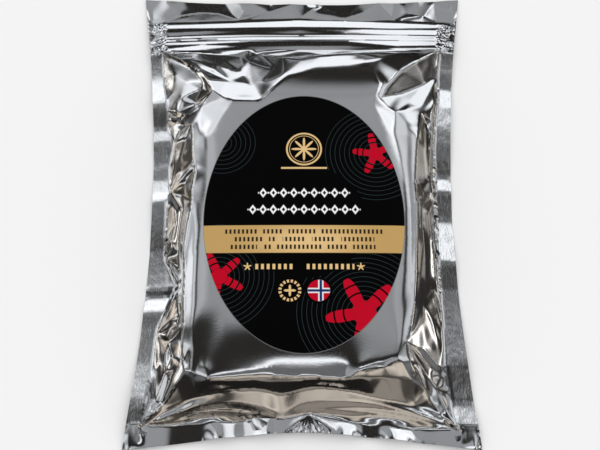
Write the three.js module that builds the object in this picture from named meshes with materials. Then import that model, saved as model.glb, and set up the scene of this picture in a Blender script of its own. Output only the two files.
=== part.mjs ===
// A sealed foil pouch of king crab meat, lying on its back with its oval label up.
// Two foil webs are heat-sealed to each other all round. A press-to-close zip crosses the pouch
// under a plain header, and the block of meat inside draws the sides and ends of the pouch in.
// Millimetres. +X across the pouch, +Y towards the header, +Z up. The origin is on the table,
// under the middle of the pouch.

import * as THREE from "three";

// The pouch as it is laid flat, corner to corner
const WIDTH = 180;
const HEIGHT = 260;
const SIDE_SEAL = 10;
const END_SEAL = 10;
const HEADER = 11;
const ZIP_BAND = 24;
const SEAL_THICKNESS = 0.8;

// The block of meat inside, which fills the pouch
const FILL = 24; // thickness at its crown
const CROWN_DROP = 3; // how far its top falls towards its shoulders
const SIDE_SLOPE = 18; // from a side seal in to the shoulder
const ZIP_SLOPE = 34; // from the zip down the pouch to the shoulder
const FOOT_SLOPE = 15; // from the foot of the block up to the shoulder
const FOOT_GAP = 18; // from the end seal to the foot of the block
const BACK_SLOPE = 13; // from the seals in to where the back lies flat
const CORNER_ROUND = 0.34; // softens the hips that run to the corners

// What the fill does to the outline
const WAIST = 9.5; // each side is drawn in by this at the middle
const HEADER_DRAW = 3.5;
const END_DRAW = 9;
const DRAW_REACH = 40; // how far in from an end its draw is felt

// How high the seals stand off the table
const CORNER_LIFT = 0.5;
const SIDE_LIFT = 6;
const END_LIFT = 2.6;
const SEAL_WAVE = 0.5;
const SEAL_WAVES = 5; // along a side

// The zip's ribs, which show through the foil
const RIBS = 4;
const RIB_HEIGHT = 1.3;
const ZIP_THICKNESS = 2.2;

// Folds of the slack foil
const ROLL_HEIGHT = 8; // the roll trapped between the foot of the block and the end seal
const PLEAT_DEPTH = 4.2;
const PLEAT_PITCHES = [31, 43, 57]; // lengths along a side, of the folds that cross in its pleats

// The label, a stuck-on oval
const LABEL_WIDTH = 104;
const LABEL_LENGTH = 142;
const LABEL_X = 1;
const LABEL_Y = -14.5;
const LABEL_THICKNESS = 0.5;
const LABEL_GAP = 0.3;

const HALF_WIDTH = WIDTH / 2;
const HALF_HEIGHT = HEIGHT / 2;
const END_SEAL_LINE = -HALF_HEIGHT + END_SEAL;
const FOOT = END_SEAL_LINE + FOOT_GAP;
const ZIP_TOP = HALF_HEIGHT - HEADER;
const ZIP_FOOT = ZIP_TOP - ZIP_BAND;

const clamp = (t) => Math.min(1, Math.max(0, t));
const ease = (t) => clamp(t) ** 2 * (3 - 2 * clamp(t));
const shoulder = (t) => Math.sin((clamp(t) * Math.PI) / 2);
const arch = (t) => Math.sin(clamp(t) * Math.PI);
const zigzag = (t) => 1 - 4 * Math.abs(t - Math.floor(t) - 0.5); // -1 to 1, with sharp creases

// The lesser of two rises, rounded a little where they meet.
function hip(a, b) {
  const blend = clamp(0.5 + (b - a) / (2 * CORNER_ROUND));
  return b + (a - b) * blend - CORNER_ROUND * blend * (1 - blend);
}

const FULL_RISE = hip(1, hip(1, 1)); // what the rounding leaves of it on the crown

// The outline: half the pouch's width at a height, and how far its ends are drawn in.
const sideAt = (y) => HALF_WIDTH - WAIST * (1 - (y / HALF_HEIGHT) ** 2);
const sealAt = (y) => sideAt(y) - SIDE_SEAL;

function drawnIn(x, y) {
  const across = Math.abs(x) / sideAt(y);
  const felt = clamp((Math.abs(y) - HALF_HEIGHT + DRAW_REACH) / DRAW_REACH);
  return y > 0
    ? y - HEADER_DRAW * (1 - across ** 2) * felt
    : y + END_DRAW * (1 - across ** 1.4) * felt;
}

// The middle of the two webs where they are sealed: low at the corners, lifted along the sides.
function webs(x, y) {
  const along = (y / HALF_HEIGHT) ** 2;
  const across = (x / sideAt(y)) ** 2;
  const wave = SEAL_WAVE * Math.sin((y / HEIGHT) * SEAL_WAVES * 2 * Math.PI + Math.sign(x));
  return (
    CORNER_LIFT +
    SEAL_THICKNESS / 2 +
    (SIDE_LIFT + wave) * across * (1 - along) +
    END_LIFT * along * (1 - across)
  );
}

// How much of the block's height the front web has at a place, from 0 on the seals to 1.
function rise(x, y) {
  const fromSide = shoulder((sealAt(y) - Math.abs(x)) / SIDE_SLOPE);
  const fromZip = shoulder((ZIP_FOOT - y) / ZIP_SLOPE);
  const fromFoot = shoulder((y - FOOT) / FOOT_SLOPE);
  return Math.max(0, hip(fromSide, hip(fromZip, fromFoot)) / FULL_RISE);
}

// Folds that cross on the slopes at the sides, as diamonds between the seal and the shoulder.
function pleats(x, y) {
  const inward = clamp((sealAt(y) - Math.abs(x)) / SIDE_SLOPE);
  const along = ease((ZIP_FOOT - y) / ZIP_SLOPE) * ease((y - END_SEAL_LINE) / FOOT_SLOPE);
  const lean = Math.sign(x) * SIDE_SLOPE;
  const folds = PLEAT_PITCHES.map((pitch, k) =>
    zigzag(y / pitch + (k % 2 ? -1 : 1) * (inward * SIDE_SLOPE + lean) / pitch),
  );
  const crossing = folds.reduce((sum, fold) => sum + fold, 0) / folds.length;
  return PLEAT_DEPTH * arch(inward) * along * crossing;
}

// The roll of slack foil beyond the foot of the block, which dies away towards each corner.
function roll(x, y) {
  const across = clamp(Math.abs(x) / sealAt(y));
  return ROLL_HEIGHT * (1 - across ** 4) * arch((y - END_SEAL_LINE) / (FOOT - END_SEAL_LINE));
}

// The zip's ribs, pressed flat where the zip runs into the side seals.
function zip(x, y) {
  const along = clamp((y - ZIP_FOOT) / ZIP_BAND);
  const open = ease((sealAt(y) - Math.abs(x)) / SIDE_SEAL);
  const ribs = (1 - Math.cos(along * RIBS * 2 * Math.PI)) / 2;
  return open * (ZIP_THICKNESS * ease(4 * Math.min(along, 1 - along)) + RIB_HEIGHT * ribs);
}

function crown(x, y) {
  return FILL - CROWN_DROP * ((x / HALF_WIDTH) ** 2 + (y / HALF_HEIGHT) ** 2);
}

function frontWeb(x, y) {
  const sealed = webs(x, y) + SEAL_THICKNESS / 2;
  return sealed + (crown(x, y) - sealed) * rise(x, y) + pleats(x, y) + roll(x, y) + zip(x, y);
}

function backWeb(x, y) {
  const fromSide = ease((sealAt(y) - Math.abs(x)) / BACK_SLOPE);
  const fromEnds = ease(Math.min(ZIP_FOOT - y, y - END_SEAL_LINE) / BACK_SLOPE);
  return (webs(x, y) - SEAL_THICKNESS / 2) * (1 - Math.min(fromSide, fromEnds));
}

// Places from one named line to the next, each stretch split evenly. The first line isn't repeated.
function stations(start, ...stretches) {
  const places = [start];
  for (const [end, steps] of stretches) {
    const from = places.at(-1);
    for (let k = 1; k <= steps; k++) places.push(from + ((end - from) * k) / steps);
  }
  return places;
}

// Columns count inwards from the side: at 1 the seal ends, at 2 the slope, and 3 is the middle.
const HALF_COLUMNS = stations(0, [1, 1], [2, 8], [3, 9]);
const COLUMNS = [...HALF_COLUMNS, ...HALF_COLUMNS.slice(0, -1).reverse()];
const ROWS = stations(
  -HALF_HEIGHT,
  [END_SEAL_LINE, 1],
  [FOOT, 6],
  [FOOT + FOOT_SLOPE, 6],
  [ZIP_FOOT - ZIP_SLOPE, 17],
  [ZIP_FOOT, 7],
  [ZIP_TOP, 4 * RIBS],
  [HALF_HEIGHT, 2],
);

function columnPlace(column, y) {
  const band = COLUMNS[column];
  const side = column < HALF_COLUMNS.length ? -1 : 1;
  const slopeEnd = sealAt(y) - SIDE_SLOPE;
  if (band <= 1) return side * (sideAt(y) - band * SIDE_SEAL);
  if (band <= 2) return side * (sealAt(y) - (band - 1) * SIDE_SLOPE);
  return side * slopeEnd * (3 - band);
}

const foil = new THREE.MeshStandardMaterial({ color: 0xd4d6d9, roughness: 0.22, metalness: 1 });
const labelStock = new THREE.MeshStandardMaterial({ color: 0x060607, roughness: 0.5, metalness: 0 });

// The pouch: a thin box of columns and rows, whose top is laid to the front web and whose
// underside to the back web.
function pouch() {
  const columns = COLUMNS.length - 1;
  const rows = ROWS.length - 1;
  const webbing = new THREE.BoxGeometry(columns, rows, 1, columns, rows, 1);
  const places = webbing.attributes.position;
  for (let k = 0; k < places.count; k++) {
    const y = ROWS[Math.round(places.getY(k) + rows / 2)];
    const x = columnPlace(Math.round(places.getX(k) + columns / 2), y);
    const web = places.getZ(k) > 0 ? frontWeb : backWeb;
    places.setXYZ(k, x, drawnIn(x, y), web(x, y));
  }
  webbing.computeVertexNormals();
  const mesh = new THREE.Mesh(webbing, foil);
  mesh.name = "pouch";
  return mesh;
}

// The label: a thin disc of rings, stretched to an oval and laid on the crown of the front web.
const LABEL_RINGS = 6;
const LABEL_SECTORS = 44;

function label() {
  const side = stations(0, [1, LABEL_RINGS]);
  const profile = [
    ...side.map((r) => new THREE.Vector2(r, 0)),
    ...side.reverse().map((r) => new THREE.Vector2(r, 1)),
  ];
  const disc = new THREE.LatheGeometry(profile, LABEL_SECTORS).rotateX(Math.PI / 2);
  const places = disc.attributes.position;
  for (let k = 0; k < places.count; k++) {
    const x = LABEL_X + (places.getX(k) * LABEL_WIDTH) / 2;
    const y = LABEL_Y + (places.getY(k) * LABEL_LENGTH) / 2;
    const under = frontWeb(x, y) + LABEL_GAP;
    places.setXYZ(k, x, drawnIn(x, y), under + places.getZ(k) * LABEL_THICKNESS);
  }
  disc.computeVertexNormals();
  const mesh = new THREE.Mesh(disc, labelStock);
  mesh.name = "label";
  return mesh;
}

// The pack stands on its lowest points, with the origin under the middle of its outline.
const pack = new THREE.Group();
pack.add(pouch(), label());
const outline = new THREE.Box3().setFromObject(pack, true);
const middle = outline.getCenter(new THREE.Vector3());
pack.position.set(-middle.x, -middle.y, -outline.min.z);

export default pack;
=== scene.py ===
# A foil pouch of king crab meat, lying on its back with its label up.
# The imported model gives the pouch's box and the label's, and the sizes below start from them.
# Lengths are in millimetres until a mesh is made, x across, y up the pouch, z off the table.
import math

import bpy
import numpy as np
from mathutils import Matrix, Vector
from mathutils.geometry import delaunay_2d_cdt
from mathutils.kdtree import KDTree


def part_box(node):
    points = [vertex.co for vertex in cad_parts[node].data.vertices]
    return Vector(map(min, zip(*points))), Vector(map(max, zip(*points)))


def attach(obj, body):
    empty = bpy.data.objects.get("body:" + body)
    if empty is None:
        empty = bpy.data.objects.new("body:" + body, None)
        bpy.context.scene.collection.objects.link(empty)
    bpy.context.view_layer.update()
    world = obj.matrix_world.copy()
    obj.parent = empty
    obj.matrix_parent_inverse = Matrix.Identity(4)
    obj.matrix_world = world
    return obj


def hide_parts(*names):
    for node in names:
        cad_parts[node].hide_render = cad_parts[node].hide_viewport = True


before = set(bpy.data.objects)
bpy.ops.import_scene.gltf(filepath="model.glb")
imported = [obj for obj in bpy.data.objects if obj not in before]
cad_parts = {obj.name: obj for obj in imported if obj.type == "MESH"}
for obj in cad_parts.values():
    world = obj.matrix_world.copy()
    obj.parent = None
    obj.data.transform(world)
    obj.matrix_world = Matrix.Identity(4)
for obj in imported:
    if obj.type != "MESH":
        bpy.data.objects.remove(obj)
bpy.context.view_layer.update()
MM = 0.001

# ----------
# The pouch: two webs of foil laminate, cut to a rectangle and heat-sealed to each other all round.
# The filling takes up foil, so the sides are drawn in to a waist, and the ends are drawn in too.
HALF_WIDTH, HALF_HEIGHT, FILL = np.array(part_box("pouch")[1]) / MM
WAIST = 9.5
HEADER_DRAW = 3.5
FOOT_DRAW = 9.0
FOOT_BOW = 1.4  # 1 would run straight from the corners to the middle, and 2 is a parabola
CORNER_HEIGHT = 0.8


def side_at(y):
    return HALF_WIDTH - WAIST * (1 - (y / HALF_HEIGHT) ** 2)


def top_at(x):
    return HALF_HEIGHT - HEADER_DRAW * (1 - (x / HALF_WIDTH) ** 2)


def foot_at(x):
    return FOOT_DRAW * (1 - np.abs(x / HALF_WIDTH) ** FOOT_BOW) - HALF_HEIGHT


# ----------
# The side seals: the webs' welded margins, stiffer than the foil beside them. The fill leaves them
# twisted and rippled, so each is given by its inner line, top first, and its slope along the pouch.
LEFT_LINE = [
    (-78.7, 93.8), (-77.6, 80.2), (-76, 69.6), (-74.4, 57.2), (-73.3, 46), (-69.7, 38.3), (-71, 28.4),
    (-71.9, 23.6), (-70.8, 9), (-72.7, 3.4), (-72.7, -11), (-72, -28.4), (-64.9, -43.9), (-70, -57),
    (-75, -69.9), (-77.3, -89.1), (-79.3, -104.4), (-80.3, -117),
]
RIGHT_LINE = [
    (77.8, 95.6), (75.9, 79.2), (75.5, 69.8), (73, 50.8), (71.6, 32.5), (71.1, 6.1), (71.4, -13.9),
    (70.6, -19.6), (71.5, -36.1), (71.9, -52.5), (72.3, -68.5), (72.4, -90.4), (74.1, -99.6),
    (77.4, -119.6),
]
LEFT_RIPPLE = [
    (96, -0.16), (89, -0.15), (86, -0.03), (79, -0.01), (75, 0.11), (63, 0.12), (59, -0.14),
    (48, -0.17), (45, 0.14), (39.5, 0.14), (37, -0.15), (28, -0.1), (25, 0), (18, 0), (14, 0.1),
    (6, 0.13), (2, -0.06), (-24, -0.1), (-29, 0.1), (-44.5, 0.15), (-47, -0.25), (-49.5, -0.2),
    (-51, 0.16), (-57, 0.16), (-60, -0.13), (-67, -0.09), (-72, 0), (-84, 0.07), (-88, 0.1),
    (-104, 0.12), (-108, -0.04), (-117, -0.04),
]
RIGHT_RIPPLE = [
    (98, -0.16), (90, -0.15), (87, -0.03), (81, -0.02), (73, -0.15), (70, 0.1), (62, 0.13), (59, 0.02),
    (51, 0.05), (47, 0), (38, 0), (34, -0.08), (19, -0.14), (16, 0.12), (11, 0.12), (8, -0.12),
    (-5, -0.1), (-9, 0.1), (-29, 0.15), (-33, -0.12), (-45, -0.1), (-49, 0.04), (-84, 0.09),
    (-88, -0.09), (-104, -0.12), (-108, 0.13), (-121, 0.12),
]
SEAL_TILT = 0.17  # how steeply each side seal hangs outwards
SEAL_TOP = 5.2
SEAL_PLACES = np.linspace(-130, 98, 457)  # every half millimetre up a side seal
FOLD_SPACING = 3.0
FOLD_GAP = 1.2  # no other place is nearer than this to a fold's corner


def slope_sum(ys, slopes):
    """How far a line falls from each place to the last one, from its slopes at some places."""
    slope = np.interp(ys, *slopes)
    return np.cumsum(slope[::-1])[::-1] * (ys[1] - ys[0])


def seal_height(y, ripple):
    """Height of a side seal's inner line."""
    return SEAL_TOP + np.interp(y, SEAL_PLACES, slope_sum(SEAL_PLACES, np.array(ripple)[::-1].T))


def seal_line(line, ripple):
    """The inner line of a side seal, with a corner at each fold that meets it and more between them."""
    places = np.array(line)
    between_folds = np.arange(places[-1, 1] + 2, places[0, 1] - 1, FOLD_SPACING)
    ys = np.unique(np.concatenate([places[:, 1], between_folds]))[::-1]
    kept = [y for y in ys if y in places[:, 1] or np.abs(places[:, 1] - y).min() > FOLD_GAP]
    xs = np.interp(kept, places[::-1, 1], places[::-1, 0])
    return list(zip(xs.tolist(), kept, seal_height(kept, ripple).tolist()))


def seal_margin(side, line, y):
    """How far a side seal's inner line is from the middle of the pouch."""
    return side * np.interp(y, *np.array(line)[::-1, 1::-1].T)


def seal_edge(side, line, ripple):
    """The pouch's edge beside a side seal."""
    ys = np.arange(line[-1][1], line[0][1], FOLD_SPACING)
    heights = seal_height(ys, ripple) - SEAL_TILT * (side_at(ys) - seal_margin(side, line, ys))
    return [tuple(place) for place in np.stack([side * side_at(ys), ys, heights], -1)]


left_line, right_line = seal_line(LEFT_LINE, LEFT_RIPPLE), seal_line(RIGHT_LINE, RIGHT_RIPPLE)

# ----------
# The crown, where the front web lies on the block of meat. It is nearly flat under the label and
# rolls over at the foot, and its rim is rounded by the foil that is drawn over it.
RIM = [
    (-36.5, 54.5), (-22.5, 54), (-15, 63), (-9, 70.5), (-1, 73), (7, 76.5), (23.5, 78), (33, 78.5),
    (40, 75), (43.5, 65), (40.5, 56), (45, 47.5), (49.5, 36), (53, 19), (55, 7), (56, -7), (55.5, -25),
    (54.3, -41), (52.5, -57), (50.8, -70), (49, -79), (47.5, -87.5), (40, -89), (30, -94.5),
    (20, -98.2), (-1, -97.6), (-19.8, -97.1), (-36, -98.4), (-47.5, -98.6), (-53.8, -94),
    (-55.3, -87.5), (-54.8, -80), (-55.2, -71.5), (-54.8, -62), (-55.3, -47), (-55, -31), (-54, -17),
    (-52.3, -3.5), (-51, 13), (-51.2, 25), (-52, 34), (-48, 42.5), (-44.5, 49.5),
]
LEFT_RIM, RIGHT_RIM = RIM[28:], RIM[21:8:-1]
CROWN_DROP = 2.6  # how much lower it is towards the corners
ROLLED = 9.0  # how far in from the side rims it rolls over, and its slopes there
LEFT_ROLL = 0.16
RIGHT_ROLL = 0.18
# its slopes up to the zip and down to the foot, at places along the pouch: at the foot there are
# three parts, and a low ridge runs slanting between the left one and the middle one
ZIP_FALL = ((55, 60, 65, 69, 78, 84), (0.0, 0.04, 0.1, 0.14, 0.2, 0.24))
LEFT_FALL = ((-100, -97, -94, -70, -58), (0.3, 0.2, 0.11, 0.085, 0.0))
MIDDLE_FALL = (
    (-102, -99, -97.5, -94.5, -93, -91.5, -80, -76, -71),
    (0.34, 0.285, 0.24, 0.185, 0.145, 0.085, 0.065, 0.05, 0.0),
)
RIGHT_FALL = ((-100, -92, -88, -60), (0.2, 0.08, 0.0, 0.0))
RIDGE = (-33, -60)
RIDGE_LEAN = 0.51
RIDGE_HEIGHT = 0.8
RIDGE_WIDTH = 2.4


def ease(t):
    """From 0 to 1 with a soft start and end."""
    t = np.clip(t, 0.0, 1.0)
    return t**2 * (3 - 2 * t)


def fallen(y, slopes):
    """How far the crown has fallen at y, when its slope along the pouch runs through these values."""
    ys = np.linspace(-100, 100, 401)
    return np.interp(y, ys, slope_sum(ys, slopes))


def rolled_over(x, y):
    """How far the crown has rolled over by its left and right rims."""
    left = np.interp(y, *np.array(LEFT_RIM)[:, ::-1].T)
    right = np.interp(y, *np.array(RIGHT_RIM)[:, ::-1].T)
    from_left = np.clip(1 - (x - left) / ROLLED, 0, 1) ** 2 * LEFT_ROLL
    from_right = np.clip(1 - (right - x) / ROLLED, 0, 1) ** 2 * RIGHT_ROLL
    return (from_left + from_right) * ROLLED / 2 * ease((58 - y) / 10) * ease((y + 82) / 28)


def crown(x, y):
    """Height of the front web over the block."""
    flat = FILL - CROWN_DROP * ((x / HALF_WIDTH) ** 2 + (y / HALF_HEIGHT) ** 2)
    past_ridge = x - RIDGE[0] - RIDGE_LEAN * (y - RIDGE[1])
    in_middle = ease((past_ridge + 3) / 9)
    on_right = ease((x - 19) / 12)
    slanted = y - 4.4 + 9.4 * np.clip((-14 - x) / 38, 0, 1)
    at_foot = fallen(y, LEFT_FALL) * (1 - in_middle) + fallen(slanted, MIDDLE_FALL) * (in_middle - on_right)
    at_foot += fallen(y, RIGHT_FALL) * on_right
    at_zip = fallen(-y, (tuple(-v for v in ZIP_FALL[0][::-1]), ZIP_FALL[1][::-1]))
    ridge = RIDGE_HEIGHT * np.exp(-((past_ridge / RIDGE_WIDTH) ** 2))
    ridge *= ease((-60 - y) / 10) * ease((y + 97) / 8)
    return flat - at_foot - at_zip + ridge - rolled_over(x, y)


rim = [(x, y, float(crown(np.array(x), np.array(y)))) for x, y in RIM]

# ----------
# The creases. Foil doesn't stretch, so what the block leaves slack folds into flat facets between the
# crown and the seals. Each line is one crease, as corners across, up and off the table.
LEFT_END, RIGHT_END = (-80.3, -117, 2.5), (77.4, -119.6, 3)  # where the seals meet at the foot
# corners where many creases meet, on the seals and on the crown
LEFT_ZIP = (-78.7, 93.8, 5)
LEFT_WAIST = (-70.8, 9, 6.5)
LEFT_TUCK = (-75, -69.9, 5)
LEFT_KNOT = (-59.1, 42, 20.2)
LEFT_HIP = (-57.6, -4, 21.4)
LEFT_KNEE = (-59.8, -70.8, 20)
LEFT_HEEL = (-59.9, -87.8, 17)
RIGHT_KNOT = (52.1, -79.3, 21.4)
CREASES = [
    # the long fold from the zip's left end to the crown, its lower flank, and the pocket under it
    [LEFT_ZIP, (-68, 85.6, 11.6), (-56.2, 76.2, 16.8), (-51.3, 68.2, 20), (-48.1, 60.9, 21.8)],
    [LEFT_ZIP, (-75.2, 90.4, 6), (-62.1, 79.4, 12.8), (-54.1, 68.6, 17.4), (-48.1, 60.9, 21.8)],
    [(-77.6, 80.2, 5), (-70.5, 77, 8.8), (-63.4, 70.3, 12.6), (-55.7, 64.6, 15.8), (-49.6, 60.6, 19.8)],
    [(-77.6, 80.2, 5), (-71.7, 66, 7.2), (-74.4, 57.2, 5.5)],
    [(-74.4, 57.2, 5.5), (-66, 62.3, 10.6), (-55.7, 64.6, 15.8)],
    [(-74.4, 57.2, 5.5), (-68, 54, 9.2), (-62.6, 50.9, 12), LEFT_KNOT],
    [(-55.7, 64.6, 15.8), (-58.6, 58, 11), (-62.6, 50.9, 12)],
    [(-49.6, 60.6, 19.8), (-56.8, 55.4, 14), (-62.6, 50.9, 12)],
    [(-48.1, 60.9, 21.8), (-54.2, 51.8, 20.6), LEFT_KNOT],
    [(-74.4, 57.2, 5.5), (-66, 49.5, 8.4), LEFT_KNOT],
    [(-73.3, 46, 6), (-68, 48.4, 9.6), (-64.5, 44.5, 12.4), LEFT_KNOT],
    [(-73.3, 46, 6), (-66, 43.2, 9.8), LEFT_KNOT],
    [(-69.7, 38.3, 7), (-64.3, 40.4, 12.8), LEFT_KNOT],
    # the long crease down from there, and the folds of the waist
    [LEFT_KNOT, (-62.1, 35.9, 13.4), (-64.7, 25.5, 10.2), (-66.6, 18, 8.4), LEFT_WAIST],
    [LEFT_KNOT, (-63.9, 36.5, 11.4), (-66.9, 25.5, 7.6), (-68.4, 16, 6.7), LEFT_WAIST],
    [LEFT_KNOT, (-58.3, 30, 20.6), (-57.4, 20, 21), (-56, 14, 21.6)],
    [(-56, 14, 21.6), (-59.5, 15.8, 17.4), (-65.2, 13.3, 9.6), LEFT_WAIST],
    [(-56, 14, 21.6), (-60.4, 11.6, 15.4), (-65.2, 13.3, 9.6)],
    [(-56, 14, 21.6), (-57.8, 5, 21), LEFT_HIP],
    [LEFT_WAIST, (-61.8, 9.4, 13.2), LEFT_HIP],
    [LEFT_WAIST, (-63.6, 4, 11.8), LEFT_HIP],
    [LEFT_WAIST, (-66.6, 0.5, 7.8), (-62.6, -5.5, 12.2), LEFT_HIP],
    [LEFT_WAIST, (-67.6, -2, 8.6), (-66.8, -12, 9), (-68.8, -21, 7.6), (-72, -28.4, 6)],
    [LEFT_HIP, (-59.6, -16, 20.8), (-61.2, -30, 20.2), (-60.6, -42.3, 19.8), (-60.6, -55, 19.8), LEFT_KNEE],
    [(-62.6, -5.5, 12.2), (-64.4, -18, 10.6), (-63.6, -30, 12.2), (-60.6, -42.3, 19.8)],
    [(-72, -28.4, 6), (-67, -34.5, 9.4), (-62.8, -41, 13.8), (-60.6, -42.3, 19.8)],
    [(-64.9, -43.9, 8), (-63.2, -49, 12), (-63.8, -57, 12.8), (-66.4, -63.7, 11)],
    [(-64.9, -43.9, 8), (-66.6, -53, 9.8), (-70.6, -62, 7.4), LEFT_TUCK],
    [(-66.4, -63.7, 11), (-62, -64.6, 15.2), LEFT_KNEE],
    [LEFT_TUCK, (-66.4, -63.7, 11), (-63, -67.6, 13.2), LEFT_KNEE],
    [LEFT_TUCK, (-67.4, -70.4, 9), LEFT_KNEE],
    # from the left seal's lower fold to the corner
    [LEFT_TUCK, (-68.5, -76.5, 9.6), (-66, -84, 10.2), LEFT_HEEL],
    [LEFT_KNEE, (-59.9, -79, 19.2), LEFT_HEEL],
    [LEFT_TUCK, (-73, -88, 6.6), (-75.8, -104, 4.4), LEFT_END],
    [(-68.5, -76.5, 9.6), (-69.2, -92, 9.4), (-73.2, -105.6, 5.4), LEFT_END],
    [LEFT_HEEL, (-66, -95, 10.2), (-71.4, -106, 5.2), LEFT_END],
    [LEFT_HEEL, (-58.6, -92.5, 18), (-62.8, -99, 13), (-69.4, -107.2, 6.8), LEFT_END],
    # the long fold from the zip's right end to the crown, and the facets under it
    [(77.8, 95.6, 4), (70.6, 90, 9.2), (62.8, 83.1, 13.8), (53.8, 74.4, 18.4), (46.9, 64.9, 21),
     (43, 56.4, 22)],
    [(75.9, 79.2, 5), (68.1, 71.4, 8.6), (53.3, 61.2, 16), (43, 56.4, 22)],
    [(73.5, 74.6, 5.6), (65.5, 57, 12), (57, 51.2, 18.2), (50.3, 48, 21.6)],
    [(43, 56.4, 22), (46.4, 50.4, 22), (50.3, 48, 21.6), (58.5, 57, 15.2), (68.1, 71.4, 8.6)],
    [(73.5, 74.6, 5.6), (72, 62, 7), (64.6, 51.7, 13)],
    [(75.5, 69.8, 5), (72.6, 60, 7.4), (71.1, 49.3, 8)],
    [(65.5, 57, 12), (64.6, 51.7, 13), (66, 41.9, 11.6), (67.2, 30, 10.8), (67.1, 12.7, 10.8),
     (64, 5.8, 13.2), (62.5, -3, 14.6), (64.3, -16.4, 12.8), (66.5, -32.2, 10), (67.9, -48, 8.6),
     (70.6, -60, 6.8), (72.3, -68.5, 5.5)],
    [(64.6, 51.7, 13), (68, 46.5, 8.6), (71.1, 49.3, 8), (73, 50.8, 6)],
    [(71.1, 49.3, 8), (69.9, 32, 8.6), (69.2, 16, 8.8), (71.1, 6.1, 6.5)],
    [(64.6, 51.7, 13), (61.6, 35, 18), (60, 18, 19.6), (59.4, 7, 20.4), (60.2, -3, 20.4),
     (59.4, -25, 20.6), (58.4, -42, 20.6), (56.8, -58, 20.8), (54.4, -71, 21), RIGHT_KNOT],
    [(71.1, 6.1, 6.5), (67.6, -6, 9.4), (68.6, -20, 8.6), (71.5, -36.1, 6)],
    [(70.6, -19.6, 6.5), (68.6, -20, 8.6), (69.4, -40, 7.8), (71.9, -52.5, 6)],
    [(62.5, -3, 14.6), (62.8, -24, 14.4), (62.4, -44, 14.6), (62, -57.5, 14.4)],
    [(67.9, -48, 8.6), (62, -57.5, 14.4), (60.4, -66, 15.2), RIGHT_KNOT],
    [(62, -57.5, 14.4), (67, -66, 9.8), (69.4, -75, 7.6), (69.8, -88.7, 6.5)],
    [RIGHT_KNOT, (61.5, -81.8, 14.4), (69.8, -88.7, 6.5)],
    [RIGHT_KNOT, (60, -84, 13.6), (66, -89.5, 8), (72.4, -90.4, 5)],
    [RIGHT_KNOT, (58, -87.6, 15.4), (63.4, -95, 10.2), (67.4, -100.2, 7.2)],
    [RIGHT_KNOT, (55.8, -87.5, 17.2), (61.3, -100.3, 10.6)],
    [RIGHT_KNOT, (53.4, -88.5, 19.4), (56, -94, 15.2), (61.3, -100.3, 10.6)],
    [(72.4, -90.4, 5), (67.4, -100.2, 7.2), (74.1, -99.6, 4.5)],
    [(61.3, -100.3, 10.6), (64, -104.6, 7.8), (69.4, -111.8, 5), RIGHT_END],
    [(67.4, -100.2, 7.2), (72.2, -110.4, 5.4), RIGHT_END],
    # across the slope under the zip: the lens-shaped hollow, the notch beside it and the block's end
    [LEFT_ZIP, (-73, 93.4, 5.4), (-57, 92.2, 6), (-46, 91, 6.6), (-34.6, 88.8, 8.4), (-29.5, 85, 11.2)],
    [(-68, 85.6, 11.6), (-60.8, 82, 13.2), (-56, 77.8, 14.8), (-47.6, 73, 16.6), (-39.3, 68.8, 17.6),
     (-31, 67.6, 18), (-27.7, 66, 18.6)],
    [LEFT_ZIP, (-62, 88, 9.4), (-47, 81, 13.2), (-34, 75.6, 14.8)],
    [LEFT_ZIP, (-61, 85.6, 11.4), (-49, 77.6, 15.4), (-39.3, 68.8, 17.6)],
    [LEFT_ZIP, (-60, 90.4, 7.4), (-44, 86, 9.6), (-31.8, 80.6, 12.6)],
    [(-29.5, 85, 11.2), (-27.7, 66, 18.6), (-32, 73.6, 15), (-29.5, 85, 11.2)],
    [(-29.5, 85, 11.2), (-25, 91.8, 6.2)],
    [(-27.7, 66, 18.6), (-21.7, 67, 19.8), (-15, 76.6, 17.2), (-10.6, 84.6, 15.4)],
    [(-25, 91.8, 6.2), (-10.6, 84.6, 15.4), (-1, 81.8, 18.2), (10, 84.4, 18), (21, 85.4, 17.8),
     (32, 86.4, 17), (43, 88.4, 15), (54.6, 91.4, 11), (66, 94, 6)],
    [(33, 78.5, 20.4), (43, 82, 19), (54, 87.4, 15), (62.8, 91.6, 9)],
    [(-48.1, 60.9, 21.8), (-43, 56.8, 22.2), (-38.1, 54, 22.8)],
    # the end of the block, and the valley beyond it
    [LEFT_HEEL, (-56.6, -93.4, 18.6), (-49, -98.4, 18.6), (-39.6, -98.2, 19), (-28.4, -97.4, 19.2),
     (-13.4, -96.2, 19.4), (-1, -96.6, 19.4), (9, -97.6, 19.2), (18.6, -98, 19.2), (31, -97, 19.4),
     (41, -96.4, 18.4), (48.6, -96.2, 16.8), (54.6, -96.8, 15.2), (61.3, -100.3, 10.6)],
    [(18.6, -98, 19.2), (31, -94.8, 20.8), (41, -92, 21.4), (45, -89.6, 21.4), (49.4, -88.8, 21),
     RIGHT_KNOT],
    [(49.4, -88.8, 21), (54.6, -96.6, 15.4)],
]

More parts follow.
